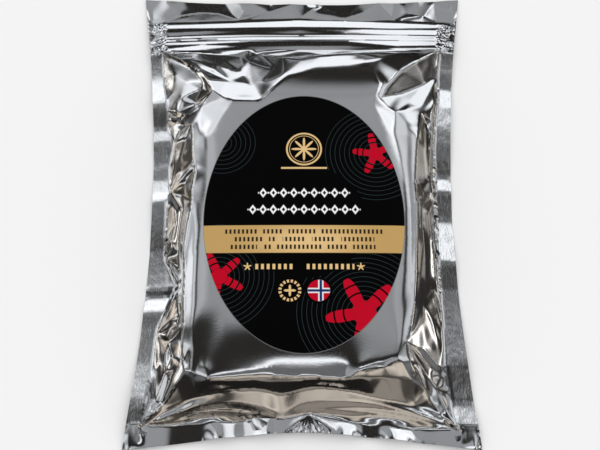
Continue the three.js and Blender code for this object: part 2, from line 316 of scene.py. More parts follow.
# ----------
# The roll of slack foil beyond the block's end. It is folded over towards the foot seal, so it is
# given as its crest and the folds below it, each as places up and heights off the table.
ROLL_ACROSS = (-66, -51, -36, -20, -10.6, -1, 8, 21, 36, 54, 68)
ROLL_LINES = [
    ((-109.6, -103.6, -101.3, -101.5, -103.3, -101, -99.8, -101.1, -104.1, -108.1, -113.6),
     (5.2, 9.8, 13.2, 12.6, 10.4, 12.6, 13.6, 12.4, 9.6, 6.6, 4.8)),
    ((-112, -108.4, -107.4, -109.4, -111.2, -108.4, -107.1, -106.8, -107.7, -111.2, -115.4),
     (4.8, 8.2, 9.6, 8.2, 5.8, 7.8, 9, 9.4, 7.8, 5.7, 4.3)),
    ((-113, -110, -109, -111.2, -112.4, -109.8, -108.7, -108.6, -109.2, -112.2, -116.2),
     (4.2, 6.5, 7.2, 6, 5, 6.4, 7.2, 7.2, 6.2, 4.9, 3.9)),
    ((-114.2, -111.8, -111.2, -112.8, -113.3, -111, -110.2, -110.8, -111.2, -114, -117.2),
     (3.8, 5.5, 6.2, 5.2, 4.4, 5.6, 6.2, 6, 5.4, 4.3, 3.6)),
    ((-115.4, -113.2, -112.6, -113.6, -113.9, -111.9, -111.4, -112.4, -112.9, -115.2, -118),
     (3.2, 4, 4.4, 4.4, 4, 4.6, 4.8, 4.2, 4, 3.4, 3.4)),
]
CURVE_STEP = 3


def curved(line):
    """A smooth curve through the corners of a line, with a place every 3 mm."""
    corners = np.array([line[0], *line, line[-1]])
    out = []
    for a, b, c, d in zip(corners, corners[1:], corners[2:], corners[3:]):
        count = max(1, round(float(np.linalg.norm(c - b)) / CURVE_STEP))
        for t in np.linspace(0, 1, count, endpoint=False):
            out.append(b + 0.5 * t * (c - a + t * (2 * a - 5 * b + 4 * c - d + t * (3 * (b - c) + d - a))))
    return [*[tuple(place) for place in out], line[-1]]


roll_lines = [curved([LEFT_END, *zip(ROLL_ACROSS, ys, zs), RIGHT_END]) for ys, zs in ROLL_LINES]

# ----------
# The foot seal: the welded strip below the roll. It ripples across the pouch and tips up and down,
# and a fan of small pleats gathers it in the middle. Its slopes and tips go by places across.
FOOT_LINE = [
    (-80.3, -117), (-66.2, -117.2), (-51.2, -116.4), (-31.2, -115), (-25.2, -113.2), (-10.6, -114.2),
    (3.4, -111.8), (8.9, -113.2), (21.5, -115.4), (48.9, -118.8), (63.9, -119.8), (77.4, -119.6),
]
FOOT_RIPPLE = [
    (-90, 0), (-66, 0.02), (-58, 0.08), (-46, 0.08), (-41, -0.18), (-34, -0.22), (-29, 0.08),
    (-23, 0.2), (-18, 0.18), (-12, 0), (-8, 0), (-4, 0.1), (4, 0), (16, -0.1), (20, -0.16), (24, -0.15),
    (28, 0.05), (36, 0.08), (41, 0.06), (45, -0.16), (53, -0.15), (57, 0.1), (67, 0.08), (72, 0),
    (90, 0),
]
# how much higher the edge is than the line
FOOT_LIFT = [
    (-90, 0.9), (-72, 0.9), (-64, -0.5), (-50, -0.5), (-41, 1.9), (-17, 1.9), (-12, 0.9), (16, 0.9),
    (20, 1.7), (25, 1.7), (31, -0.5), (37, -0.5), (45, 1.7), (53, 1.7), (60, 0.2), (66, 0.2), (73, 1),
    (90, 1),
]
FOOT_START = 2.0
FOOT_LOWEST = 0.7
# the fan's pleats, as places across and heights at the edge, and where they all start
FAN = ((-9, 4.7), (-5.5, 3.6), (-2.6, 5), (0, 3.7), (2.6, 5.2), (5.2, 3.8), (8, 5.2), (12, 3.9), (18, 4.9))
FAN_FROM = (3.4, -111.8)
FAN_RISE = 0.6  # above the seal's line


def with_corners(y, edge):
    """The pouch's edge at one of its ends, from corner to corner."""
    return [(-HALF_WIDTH, y, CORNER_HEIGHT), *edge, (HALF_WIDTH, y, CORNER_HEIGHT)]


def foot_height(x):
    """Height of the foot seal's line, which ripples across the pouch."""
    xs = np.linspace(-90, 90, 361)
    return FOOT_START + np.interp(x, xs, np.cumsum(np.interp(xs, *np.array(FOOT_RIPPLE).T)) * (xs[1] - xs[0]))


def foot_lift(x):
    """How much higher the foot seal's edge is than its line."""
    return np.interp(x, *np.array(FOOT_LIFT).T)


fan_places = np.array([x for x, _ in FAN])
foot_places = [x for x in np.arange(-88, 89, 2.5) if np.abs(fan_places - x).min() > FOLD_GAP]
foot_edge = [(x, foot_at(x), max(FOOT_LOWEST, float(foot_height(x) + foot_lift(x)))) for x in foot_places]
foot_edge += [(x, foot_at(x), z) for x, z in FAN]
foot_edge = with_corners(-HALF_HEIGHT, sorted(foot_edge))
foot_stops = np.array(FOOT_LINE)
foot_line_places = sorted({*foot_stops[:, 0].tolist(), *np.arange(-77, 76, 3.5).tolist()})
foot_line = [(x, float(np.interp(x, *foot_stops.T)), float(foot_height(x))) for x in foot_line_places]
fan_top = (*FAN_FROM, float(foot_height(FAN_FROM[0])) + FAN_RISE)
foot_across = [[fan_top, (x, foot_at(x), z)] for x, z in FAN]

# ----------
# The press-to-close zip, sealed between the webs, whose ribs show as lines across the foil. Each line
# is given at seven places across, and the foil falls from it to the next one by a slope.
ACROSS = (-78, -57, -29, -1, 25, 53, 78)
ZIP_HEIGHT = (5.4, 5.6, 6.3, 6.4, 6.4, 6.0, 4.6)
ZIP_PLACES = [
    (93.8, 94.6, 94.4, 94.3, 94.3, 94.6, 95.6), (95.6, 98.4, 97, 97, 97.2, 96, 97),
    (98.2, 99.2, 100.2, 100.3, 100.2, 97.6, 98.6), (100, 101.1, 100.7, 100.7, 101, 101.2, 101.4),
    (100.8, 102, 101.6, 101.5, 101.8, 102.1, 102.2), (102, 103.1, 103.3, 103.2, 103.2, 103.2, 103.4),
    (102.8, 103.9, 104.1, 103.8, 103.9, 104, 104.2), (104.6, 105.3, 105.3, 104.9, 105.1, 105.4, 105.5),
    (105.1, 106.1, 106, 105.8, 105.9, 106.1, 106.3), (107.4, 108.6, 108.4, 108.4, 109, 109.6, 109.9),
    (110.2, 110.9, 110.7, 110.7, 110.8, 110.8, 111.6), (112.9, 113.5, 114.2, 115.4, 115.9, 114.8, 113.8),
    (115.2, 115.9, 116.6, 117.1, 117.4, 117.2, 115.8),
]
ZIP_FALLS = [
    (0.25, 0.28, 0.1, 0.04, 0.08, 0.26, 0.2), (0.16, 0.165, 0.165, 0.165, 0.165, 0.165, 0.165),
    (0.25, 0.3, 0.28, 0.24, 0.26, 0.3, 0.25), (0.16, 0.12, 0.16, 0.16, 0.16, 0.2, 0.2),
    (0.26, 0.3, 0.3, 0.28, 0.3, 0.3, 0.26), (0.17, 0.15, 0.17, 0.17, 0.2, 0.2, 0.2),
    (0.25, 0.28, 0.25, 0.25, 0.27, 0.3, 0.25), (0.1, 0.16, 0.16, 0.15, 0.16, 0.16, 0.16),
    (0.05, 0.05, 0.15, 0.07, 0.22, 0.3, 0.28), (0.16, 0.165, 0.165, 0.165, 0.165, 0.165, 0.16),
    (0.25, 0.3, 0.3, 0.3, 0.3, 0.3, 0.26), (0.16, 0.165, 0.165, 0.165, -0.15, 0.165, 0.165),
]
ZIP_END = 78  # where the zip's lines meet the side seals
LEFT_DROP = 2.6  # from there to the edge
RIGHT_DROP = 2.4
EDGE_GAP = 0.4
EDGE_RISE = 0.3
EDGE_KINK = 0.9  # every other line stands up by this at the edge

zip_heights = [np.array(ZIP_HEIGHT)]
for fall, low, high in zip(ZIP_FALLS, ZIP_PLACES, ZIP_PLACES[1:]):
    zip_heights.append(zip_heights[-1] - np.array(fall) * (np.array(high) - np.array(low)))
zip_lines = [list(zip(ACROSS, ys, zs)) for ys, zs in zip(ZIP_PLACES, zip_heights)]


def zip_ends(side, drop):
    """The stretch of each zip line across a side seal, out to the pouch's edge."""
    ends = []
    for k, line in enumerate(zip_lines):
        _, y, z = line[0] if side < 0 else line[-1]
        at_edge = max(CORNER_HEIGHT, z - drop + EDGE_KINK * (k % 2))
        ends.append([(side * ZIP_END, y, z), (side * (side_at(y) - EDGE_GAP), y + EDGE_RISE, at_edge)])
    return ends


# ----------
# The plain header above the zip: both webs welded, with nothing between them. A fold's corner with no
# height is on the zip's last line, and one beyond the header's middle is on its wavy edge.
HEADER_FOLDS = [
    [(-78, 115.2), (-68, 119.4, 1.9), (-58, 121, 2.0), (-48, 120.4, 2.1), (-36, 116.4)],
    [(-66, 125.6, 0.9), (-58, 121, 2.0)], [(-48, 120.4, 2.1), (-44, 124.6, 1.0)],
    [(-36, 116.4), (-40, 120.4, 1.4), (-44, 124.6, 1.0)],
    [(-36, 116.4), (-33, 121.2, 2.4), (-29, 126.9, 2.6)],
    [(-36, 116.4), (-20, 121.6, 1.9), (-6, 126.5, 2.3)],
    [(-29, 116.6), (-17, 118.4, 2.1), (-6, 126.5, 2.3)], [(-5, 117), (-6, 126.5, 2.3)],
    [(-1, 117.1), (4, 121.6, 2.4), (10, 126.5, 2.2)], [(25, 117.4), (12, 126.5, 1.1)],
    [(25, 117.4), (32, 126.6, 1.0)], [(25, 117.4), (36, 121.6, 1.6), (44, 127, 1.9)],
    [(53, 117.2), (44, 127, 1.9)], [(53, 117.2), (60, 121.6, 1.5), (70, 119, 1.6), (78, 115.8)],
    [(60, 121.6, 1.5), (56, 127.6, 0.9)], [(70, 119, 1.6), (76, 128.4, 0.8)],
]
HEADER_EDGE = [
    (-78, 1.6), (-66, 0.9), (-54, 0.8), (-44, 1.0), (-36, 2.2), (-29, 2.6), (-18, 1.2), (-6, 2.3),
    (2, 1.6), (10, 2.2), (12, 1.1), (22, 0.8), (32, 1.0), (44, 1.9), (56, 0.9), (66, 1.3), (76, 0.8),
]
HEADER_MIDDLE = 124


def header_corner(x, y, *height):
    """Where a corner of a header fold is."""
    if not height:
        line = np.array(zip_lines[-1])
        return [np.interp(x, line[:, 0], line[:, k]) for k in range(3)]
    return (x, top_at(x) if y > HEADER_MIDDLE else y, *height)


header_across = [[header_corner(*corner) for corner in fold] for fold in HEADER_FOLDS]
top_edge = with_corners(HALF_HEIGHT, [(x, top_at(x), z) for x, z in HEADER_EDGE])

# ----------
# The front web, laid from crease to crease. The lines above cut it into flat facets, and a fine mesh
# with an edge along each crease takes its heights from them, from the crown and from the seals.
STEP = 0.7  # of the mesh, in the folds
CROWN_STEP = 2.3  # and where the crown is smooth
OUTLINE_GAP = 0.35  # mesh places are no nearer than this to the outline
FINE_GAP = 0.4
CROWN_GAP = 1.2
TIGHT = 1e-4
SEAL_WIDTH = 9.5
FOOT_END = 79
FAN_LEFT, FAN_RIGHT = -10, 19


def crossing_height(spot, places, heights, links):
    """Height where creases cross, as the mean of theirs."""
    found = []
    for a, b in links:
        start, end = np.array(places[a]), np.array(places[b])
        span = end - start
        t = np.dot(spot - start, span) / np.dot(span, span)
        if 0 < t < 1 and np.linalg.norm(start + t * span - spot) < 1e-3:
            found.append(heights[a] * (1 - t) + heights[b] * t)
    return np.mean(found)


def net(lines):
    """The corners and creases of the web, cut where they cross, and the flat facets between them."""
    corners = {}
    links = []
    for line in lines:
        keys = [(round(float(x), 2), round(float(y), 2)) for x, y, _ in line]
        ends = [corners.setdefault(key, (len(corners), float(place[2])))[0] for key, place in zip(keys, line)]
        links += [(a, b) for a, b in zip(ends, ends[1:]) if a != b]
    places = list(corners)
    heights = [z for _, z in corners.values()]
    spots = [Vector(place) for place in places]
    flat, edges, facets, origin, edge_origin, _ = delaunay_2d_cdt(spots, links, [], 0, TIGHT)
    z = []
    for spot, sources in zip(flat, origin):
        z.append(heights[sources[0]] if sources else crossing_height(np.array(spot), places, heights, links))
    creased = [edge for edge, sources in zip(edges, edge_origin) if sources]
    return np.array([p[:] for p in flat]), np.array(z), creased, facets


def height_on(corners, z, facets, x, y):
    """Height at places on the flat facets between the corners."""
    out = np.full(x.shape, np.nan)
    for facet in facets:
        (ax, ay), (bx, by), (cx, cy) = corners[facet]
        area = (bx - ax) * (cy - ay) - (cx - ax) * (by - ay)
        if abs(area) < 1e-6:
            continue
        near = np.flatnonzero(
            (x >= min(ax, bx, cx) - 1e-3) & (x <= max(ax, bx, cx) + 1e-3)
            & (y >= min(ay, by, cy) - 1e-3) & (y <= max(ay, by, cy) + 1e-3)
        )
        px, py = x[near], y[near]
        wa = ((bx - px) * (cy - py) - (cx - px) * (by - py)) / area
        wb = ((cx - px) * (ay - py) - (ax - px) * (cy - py)) / area
        wc = 1 - wa - wb
        inside = np.minimum(np.minimum(wa, wb), wc) > -2e-3
        za, zb, zc = z[facet]
        out[near[inside]] = (wa * za + wb * zb + wc * zc)[inside]
    return out


def within(polygon, x, y):
    """Which places are inside a closed outline."""
    inside = np.zeros(x.shape, bool)
    for (ax, ay), (bx, by) in zip(polygon, polygon[1:] + polygon[:1]):
        crossing = (ay > y) != (by > y)
        with np.errstate(divide="ignore", invalid="ignore"):
            inside ^= crossing & (x < (bx - ax) * (y - ay) / (by - ay) + ax)
    return inside


def split(a, b):
    """Places along a straight stretch, with its end left out."""
    count = max(1, round(float(np.linalg.norm(b - a)) / STEP))
    return a + (b - a) * (np.arange(count) / count)[:, None]


def stepped(line):
    """Places along a line of straight stretches, with its end left out."""
    ends = [np.array(place[:2]) for place in line]
    return np.concatenate([split(a, b) for a, b in zip(ends, ends[1:])])


def tree_of(places):
    """A tree in which the nearest of some places is quickly found."""
    tree = KDTree(len(places))
    for k, place in enumerate(places):
        tree.insert((place[0], place[1], 0), k)
    tree.balance()
    return tree


def distances(places, tree):
    """How far each place is from the nearest one in the tree."""
    return np.array([tree.find((x, y, 0))[2] for x, y in places])


def fill_points(spacing, taken, gap):
    """Places on a triangular grid over the pouch, less those too near the ones already taken."""
    rows = np.arange(-HALF_HEIGHT, HALF_HEIGHT, spacing * 0.866)
    columns = np.arange(-HALF_WIDTH, HALF_WIDTH, spacing)
    places = np.array([(x + (spacing / 2 if k % 2 else 0), y) for k, y in enumerate(rows) for x in columns])
    return places[distances(places, tree_of(taken)) > gap]


def with_outline(inner):
    """The outline's places, and then those of the others that lie inside it."""
    inside = within([tuple(place) for place in outline], inner[:, 0], inner[:, 1])
    return np.concatenate([outline, inner[inside]])


def triangulated(places, links):
    """The triangles between places inside the outline, with an edge along each link."""
    ring = list(range(len(outline)))
    flat, _, triangles, _, _, _ = delaunay_2d_cdt([Vector(p) for p in places], links, [ring], 1, TIGHT)
    return np.array([p[:] for p in flat]), np.array(triangles)


left_edge = [foot_edge[0], *seal_edge(-1, LEFT_LINE, LEFT_RIPPLE), top_edge[0]]
right_edge = [foot_edge[-1], *seal_edge(1, RIGHT_LINE, RIGHT_RIPPLE), top_edge[-1]]
lines = [left_line, right_line] + CREASES + roll_lines + zip_lines + foot_across + header_across + [foot_line]
lines += [left_edge, right_edge, foot_edge, top_edge] + zip_ends(-1, LEFT_DROP) + zip_ends(1, RIGHT_DROP)
corners, corner_z, creased, facets = net(lines + [rim + rim[:1]])
outline = np.concatenate([stepped(path) for path in (foot_edge, right_edge, top_edge[::-1], left_edge[::-1])])

outline_tree = tree_of(outline)
on_crease = {}
crease_edges = []
for a, b in creased:
    keys = [(round(float(x), 3), round(float(y), 3)) for x, y in (*split(corners[a], corners[b]), corners[b])]
    kept = [key if outline_tree.find((*key, 0))[2] > OUTLINE_GAP else None for key in keys]
    for key in kept:
        if key and key not in on_crease:
            on_crease[key] = len(outline) + len(on_crease)
    crease_edges += [(on_crease[a], on_crease[b]) for a, b in zip(kept, kept[1:]) if a and b and a != b]
along = np.array(list(on_crease))
taken = np.concatenate([outline, along])
fine = fill_points(STEP, taken, FINE_GAP)
coarse = fill_points(CROWN_STEP, taken, CROWN_GAP)
core = [(x * 0.93 - 0.2, y * 0.95) for x, y in RIM]  # the crown, well inside its rim
fine = fine[~within(core, *fine.T)]
coarse = coarse[within(core, *coarse.T)]
flat, triangles = triangulated(with_outline(np.concatenate([along, fine, coarse])), crease_edges)

x, y = flat.T
z = height_on(corners, corner_z, facets, x, y)
on_crown = within(RIM, x, y)
z = np.where(on_crown, crown(x, y), z)
on_seal = np.zeros(len(flat), bool)
for side, line, ripple in ((-1, LEFT_LINE, LEFT_RIPPLE), (1, RIGHT_LINE, RIGHT_RIPPLE)):
    margin = seal_margin(side, line, y)
    here = (side * x > margin) & (y < line[0][1]) & (y > line[-1][1])
    z = np.where(here, seal_height(y, ripple) - SEAL_TILT * (side * x - margin), z)
    on_seal |= here
line_y = np.interp(x, *foot_stops.T)
out = (line_y - y) / (line_y - foot_at(x))
on_foot = (out > 0) & (np.abs(x) < FOOT_END) & ((x < FAN_LEFT) | (x > FAN_RIGHT))
z = np.where(on_foot, np.maximum(FOOT_LOWEST, foot_height(x) + foot_lift(x) * out), z)
on_seal |= on_foot

# ----------
# The foil's give. Slack foil bows and ripples a little between its creases, and a crease bends over a
# small radius, so the heights off the seals are drawn smooth, and the smallest folds least.
SLACK = 0.22
SWAYS = 7
SWAY_WAVES = (13, 30)  # the shortest and the longest
STRIPE = 0.12
STRIPE_PITCH = 8.2
FINER_PITCH = 5.3
SAG = 0.028  # of a side facet, in each round
ROUNDS = 10
PULL = 0.6  # towards the neighbours, in each round
CREASE_PULL = 0.4
ON_CREASE = 0.02

from_side = side_at(y) - np.abs(x)
from_crease = distances(flat, tree_of(along))
from_rim = distances(flat, tree_of(stepped(RIM + RIM[:1])))
at_edge = np.arange(len(flat)) < len(outline)
fixed = at_edge | ((from_crease < ON_CREASE) & (from_rim > 1.0))

draw = np.random.default_rng(4)
sway = np.zeros(len(flat))
for _ in range(SWAYS):
    heading = draw.uniform(0, math.pi)
    wavelength = draw.uniform(*SWAY_WAVES)
    phase = draw.uniform(0, 2 * math.pi)
    sway += np.sin((x * math.cos(heading) + y * math.sin(heading)) * 2 * math.pi / wavelength + phase) / 2.6
# ripples that run round the pouch, in step with the distance from its edge
depth = np.minimum(np.minimum(from_side, y - foot_at(x)), 80 - y)
stripes = np.sin(depth * 2 * math.pi / STRIPE_PITCH + 1.9 * np.sin(y / 19 + 1) + 1.6 * np.sin(x / 21))
stripes *= np.sin(y / 11 + x / 17)
finer = 0.7 * np.sin(depth * 2 * math.pi / FINER_PITCH + 2.2 * np.sin(y / 13 - 1) + 1.9 * np.sin(x / 16))
stripes += finer * np.cos(y / 15 - x / 13)
sway += np.where(y < 60, stripes * STRIPE / SLACK, 0)
sway *= np.where(np.abs(x) < np.where(y > 50, 66, 59), 0.3, 1.0) * np.where(y < -96, 0.4, 1.0)
z += np.where(on_crown | on_seal, 0.0, SLACK * sway * np.clip(from_crease / 4, 0, 1))
sagging = np.where(on_crown | on_seal | (from_crease < ON_CREASE), 0.0, -SAG)
sagging *= ease((np.abs(x) - 55) / 4) * ease((44 - y) / 4)

links = np.concatenate([triangles[:, [0, 1]], triangles[:, [1, 2]], triangles[:, [2, 0]]])
facing = np.concatenate([triangles[:, 2], triangles[:, 0], triangles[:, 1]])
one, two = flat[links[:, 0]] - flat[facing], flat[links[:, 1]] - flat[facing]
pull = np.sum(one * two, -1) / np.abs(one[:, 0] * two[:, 1] - one[:, 1] * two[:, 0])
total_pull = np.bincount(links.ravel(), weights=np.repeat(pull, 2), minlength=len(z))


def off_neighbours(z):
    """How far each place is below its neighbours, weighted so that a flat facet stays flat."""
    around = np.bincount(links[:, 0], weights=pull * z[links[:, 1]], minlength=len(z))
    around += np.bincount(links[:, 1], weights=pull * z[links[:, 0]], minlength=len(z))
    return around / total_pull - z


for _ in range(ROUNDS):
    z = np.where(fixed, z, z + PULL * off_neighbours(z) + sagging)
crease_rounds = np.full(len(z), 7)  # on the slope under the zip
crease_rounds[(y < 60) | (np.abs(x) > 57)] = 4
crease_rounds[(y > -88) & (y < 60) & (np.abs(x) < 57)] = 2  # over the block
crease_rounds[(y > 38) & (x < -40)] = 1  # in the sharp folds of the upper left
crease_rounds[at_edge | (y > 93)] = 0  # on the zip, the header and the outline
for k in range(crease_rounds.max()):
    z = np.where(k >= crease_rounds, z, z + CREASE_PULL * off_neighbours(z))
top = z

# ----------
# The under web, which lies flat on the table under the block and lifts to the seals. It shares its
# outline with the front web, and a thin wall between them is the cut edge of the foil.
UNDER_STEP = 4.0
UNDER_GAP = 2.5
WEB_GAP = 0.5  # between the webs where they are sealed
ZIP_DEPTH = 34  # from the header's edge down past the zip
FOOT_DEPTH = 9
BACK_SLOPE = 13
BACK_LOW = 1.4  # the back's height at the ends' seals
BACK_LIFT = 4.2  # and how much higher it is at the waist
SHARP = math.radians(24)

under_flat, under_triangles = triangulated(with_outline(fill_points(UNDER_STEP, outline, UNDER_GAP)), [])
ux, uy = under_flat.T
above = height_on(corners, corner_z, facets, ux, uy)
above = np.where(np.isnan(above), 2.0, above)
above[: len(outline)] = top[: len(outline)]
under_depth = np.minimum(side_at(uy) - SEAL_WIDTH - np.abs(ux), top_at(ux) - ZIP_DEPTH - uy)
under_depth = np.minimum(under_depth, uy - foot_at(ux) - FOOT_DEPTH)
back = BACK_LOW + BACK_LIFT * (1 - (uy / HALF_HEIGHT) ** 2)
lying = np.minimum(above - WEB_GAP, back) * (1 - ease(under_depth / BACK_SLOPE))
under = np.maximum(0, np.where(under_depth < 0, above - WEB_GAP, lying))


def web_mesh(name, front, front_faces, back, back_faces, ring):
    """One closed mesh of a front and a back web that share their outline, with the cut edge between."""
    count = len(front)
    wall = [(k, count + k, count + j, j) for k, j in zip(ring, ring[1:] + ring[:1])]
    faces = [tuple(f) for f in front_faces] + [tuple(count + k for k in reversed(f)) for f in back_faces]
    mesh = bpy.data.meshes.new(name)
    mesh.from_pydata((np.concatenate([front, back]) * MM).tolist(), [], faces + wall)
    mesh.shade_smooth()
    mesh.set_sharp_from_angle(angle=SHARP)
    made = bpy.data.objects.new(name, mesh)
    bpy.context.collection.objects.link(made)
    return made


def paint(made, name, values):
    """A value at each place of a mesh's front web, and 0 on its back."""
    everywhere = np.zeros(len(made.data.vertices), np.float32)
    everywhere[: len(values)] = values
    made.data.attributes.new(name, "FLOAT", "POINT").data.foreach_set("value", everywhere)


front, back = np.stack([x, y, top], -1), np.stack([ux, uy, under], -1)
pouch = web_mesh("foil_pouch", front, triangles, back, under_triangles, list(range(len(outline))))
paint(pouch, "sealed", np.clip(1 - (from_side - SEAL_WIDTH) / 2, 0, 1) * (y < 94) * (y > -117))
beside_zip = ease((y - 94) / 3) * ease((115 - y) / 3)
paint(pouch, "crushed", ease((from_side - 0.3) / 1.5) * ease((11.5 - from_side) / 2) * beside_zip)

# ----------
# The foil: aluminium laminate with a mirror-like face. It is finely grained, its seals are crimped by
# the sealing bars, and the ends of the zip are crushed flat under them.
FOIL_COLOUR = (0.86, 0.865, 0.87, 1)
FOIL_ROUGHNESS = 0.1
SEAL_ROUGHNESS = 0.04  # more where it is sealed
GRAIN = 900.0  # how fine the noise of each texture is
CRIMP = 1100.0
UNEVEN = 170.0
CRUSH = 620.0
RELIEF = 0.0002  # in metres


class Flow:
    """A value in a material. Arithmetic on it adds the Math nodes."""

    def __init__(self, tree, socket=None):
        self.tree = tree
        self.socket = socket

    def node(self, kind, settings=(), inputs=(), out=0):
        """A node of some type, with its settings, and values or links for its sockets."""
        made = self.tree.nodes.new("ShaderNode" + kind)
        for name, value in dict(settings).items():
            setattr(made, name, value)
        for name, value in inputs.items() if isinstance(inputs, dict) else enumerate(inputs):
            if isinstance(value, Flow):
                self.tree.links.new(value.socket, made.inputs[name])
            else:
                made.inputs[name].default_value = value
        return Flow(self.tree, made.outputs[out] if made.outputs else None)

    def math(self, operation, *values):
        return self.node("Math", {"operation": operation}, values)

    def noise(self, places, scale, detail):
        """Smooth noise from 0 to 1."""
        return self.node("TexNoise", {}, {"Vector": places, "Scale": scale, "Detail": detail})

    def rise(self, value, low, high):
        """From 0 at low to 1 at high, with a soft start and end."""
        return self.node("MapRange", {"interpolation_type": "SMOOTHSTEP"},
                         {"Value": value, "From Min": low, "From Max": high})

    def __add__(self, other):
        return self.math("ADD", self, other)

    __radd__ = __add__

    def __mul__(self, other):
        return self.math("MULTIPLY", self, other)

    __rmul__ = __mul__

    def __sub__(self, other):
        return self.math("SUBTRACT", self, other)

    def __rsub__(self, other):
        return self.math("SUBTRACT", other, self)

    def __truediv__(self, other):
        return self.math("DIVIDE", self, other)

    def __abs__(self):
        return self.math("ABSOLUTE", self)


def empty(made):
    """The flow of a new material or world, with none of its nodes yet."""
    made.use_nodes = True
    made.node_tree.nodes.clear()
    return Flow(made.node_tree)


foil = bpy.data.materials.new("foil")
f = empty(foil)
places = f.node("TexCoord", out=3)
sealed = f.node("Attribute", {"attribute_name": "sealed"}, out=2)
crushed = f.node("Attribute", {"attribute_name": "crushed"}, out=2)
grain = f.noise(places, GRAIN, 3.0)
streaked = f.node("VectorMath", {"operation": "MULTIPLY"}, [places, (1.0, 0.45, 1.0)])
crimp = f.noise(streaked, CRIMP, 2.0)
uneven = f.noise(places, UNEVEN, 1.0)
crush = f.node("TexVoronoi", {"feature": "F1"}, {"Vector": places, "Scale": CRUSH})
height = grain * (1 - sealed) * 0.25 + (crimp * 1.4 + uneven * 3.5) * sealed + crush * crushed * 9.0
bump = f.node("Bump", {}, {"Strength": 0.15, "Distance": RELIEF, "Height": height})
roughness = FOIL_ROUGHNESS + sealed * SEAL_ROUGHNESS
finish = {"Base Color": FOIL_COLOUR, "Metallic": 1.0, "Roughness": roughness, "Normal": bump}
f.node("OutputMaterial", {}, {"Surface": f.node("BsdfPrincipled", {}, finish)})
pouch.data.materials.append(foil)
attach(pouch, "root")
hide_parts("pouch")

# ----------
# The label: an oval of satin black-printed paper stuck on the crown. Its print is generic, with
# gold, white, red and slate shapes and no lettering, drawn from its own sizes across and up the oval.
label_low, label_high = (np.array(corner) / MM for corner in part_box("label"))
label_middle = (label_low + label_high) / 2
label_half = (label_high - label_low) / 2
LABEL_RINGS = 60
LABEL_SECTORS = 240
PAPER = 0.25
STUCK = 0.02
EDGE = 0.16  # how softly an ink edge is drawn
BLACK = (0.0012, 0.0012, 0.0014, 1)
SLATE = (0.045, 0.078, 0.088, 1)
GOLD = (0.52, 0.33, 0.12, 1)
PALE_GOLD = (0.76, 0.52, 0.24, 1)
RED = (0.5, 0.0015, 0.017, 1)
BROWN = (0.02, 0.014, 0.008, 1)
WHITE = (0.85, 0.85, 0.85, 1)
FLAG_WHITE = (0.8, 0.8, 0.8, 1)
FLAG_BLUE = (0.01, 0.03, 0.13, 1)
CUT_PAPER = (0.16, 0.16, 0.16, 1)
PRINT_ROUGHNESS = 0.45
PRINT_SHEEN = 0.04
# middles of what is printed, across and up from the middle of the label
ROSE = (0, 39.5)
ROSE_BAR = (0, 28.6)
ROSE_RINGS = ((9.0, 0.45), (7.6, 0.15))  # radii, and half of how wide they are
ROWS = ((14.5, 9), (5.2, 11))  # heights of the lozenge rows, and how many lozenges they have
ROW_PITCH = 5.3
STARFISH = ((37.5, 37.0, 12.5, 1.0), (30.0, -50.0, 20.0, 2.4), (-43.0, -31.0, 14.0, 2.2))  # and reach, turn
RIPPLE_FROM = (-43.0, 43.0)
RIPPLE_PITCH = 2.5
RIPPLES = 11
BAND = (0, -11.0)
BAND_HALF = 7.5
BAND_ROWS = (  # heights, and where their groups of strokes begin and end
    (-6.9, (-41, -24, -21, -11, -8, 6, 9, 41)),
    (-11.1, (-36, -21, -18, -14, -11, 1, 4, 16, 19, 36)),
    (-15.3, (-38, -24, -21, -17, -14, 9, 12, 22, 25, 36.5)),
)
GOLD_ROW = -25.9
GOLD_GROUPS = (-25.5, -5.5, 0.5, 25.5)
ROW_STARS = (-28.8, 28.8)
RING = (-7.2, -38.6)
FLAG = (7.4, -38.6)
FLAG_RADIUS = 5.6

out = np.linspace(0, 1, LABEL_RINGS + 1)[1:, None]
around = np.linspace(0, 2 * math.pi, LABEL_SECTORS, endpoint=False)
label_x = np.append(label_middle[0], label_middle[0] + label_half[0] * out * np.cos(around))
label_y = np.append(label_middle[1], label_middle[1] + label_half[1] * out * np.sin(around))
label_back = np.stack([label_x, label_y, crown(label_x, label_y) + STUCK], -1)
disc = [(0, 1 + k, 1 + (k + 1) % LABEL_SECTORS) for k in range(LABEL_SECTORS)]
for start in range(1, 1 + (LABEL_RINGS - 1) * LABEL_SECTORS, LABEL_SECTORS):
    for k in range(LABEL_SECTORS):
        a, b = start + k, start + (k + 1) % LABEL_SECTORS
        disc.append((a, a + LABEL_SECTORS, b + LABEL_SECTORS, b))
label_edge = [1 + (LABEL_RINGS - 1) * LABEL_SECTORS + k for k in range(LABEL_SECTORS)]
label = web_mesh("oval_label", label_back + (0, 0, PAPER), disc, label_back, disc, label_edge)

ink = bpy.data.materials.new("label_print")
p = empty(ink)
places = p.node("TexCoord", out=3)
place_x, place_y = (p.node("SeparateXYZ", {}, [places], out=k) for k in range(2))
across = place_x / MM - float(label_middle[0])
up = place_y / MM - float(label_middle[1])


def inked(distance):
    """1 inside a shape and 0 outside, from the distance to its edge."""
    return p.rise(distance, EDGE, -EDGE)


def greatest(first, *others):
    """Where shapes overlap, from their distances, or any of some masks."""
    for other in others:
        first = p.math("MAXIMUM", first, other)
    return first


def least(first, *others):
    """Any of some shapes, from their distances."""
    for other in others:
        first = p.math("MINIMUM", first, other)
    return first


def bar(x, y, half_long, half_high):
    """Distance to a bar's edge."""
    return greatest(abs(across - x) - half_long, abs(up - y) - half_high)


def length(a, b):
    """Length of a line from how far it runs across and up."""
    return p.math("SQRT", a * a + b * b)


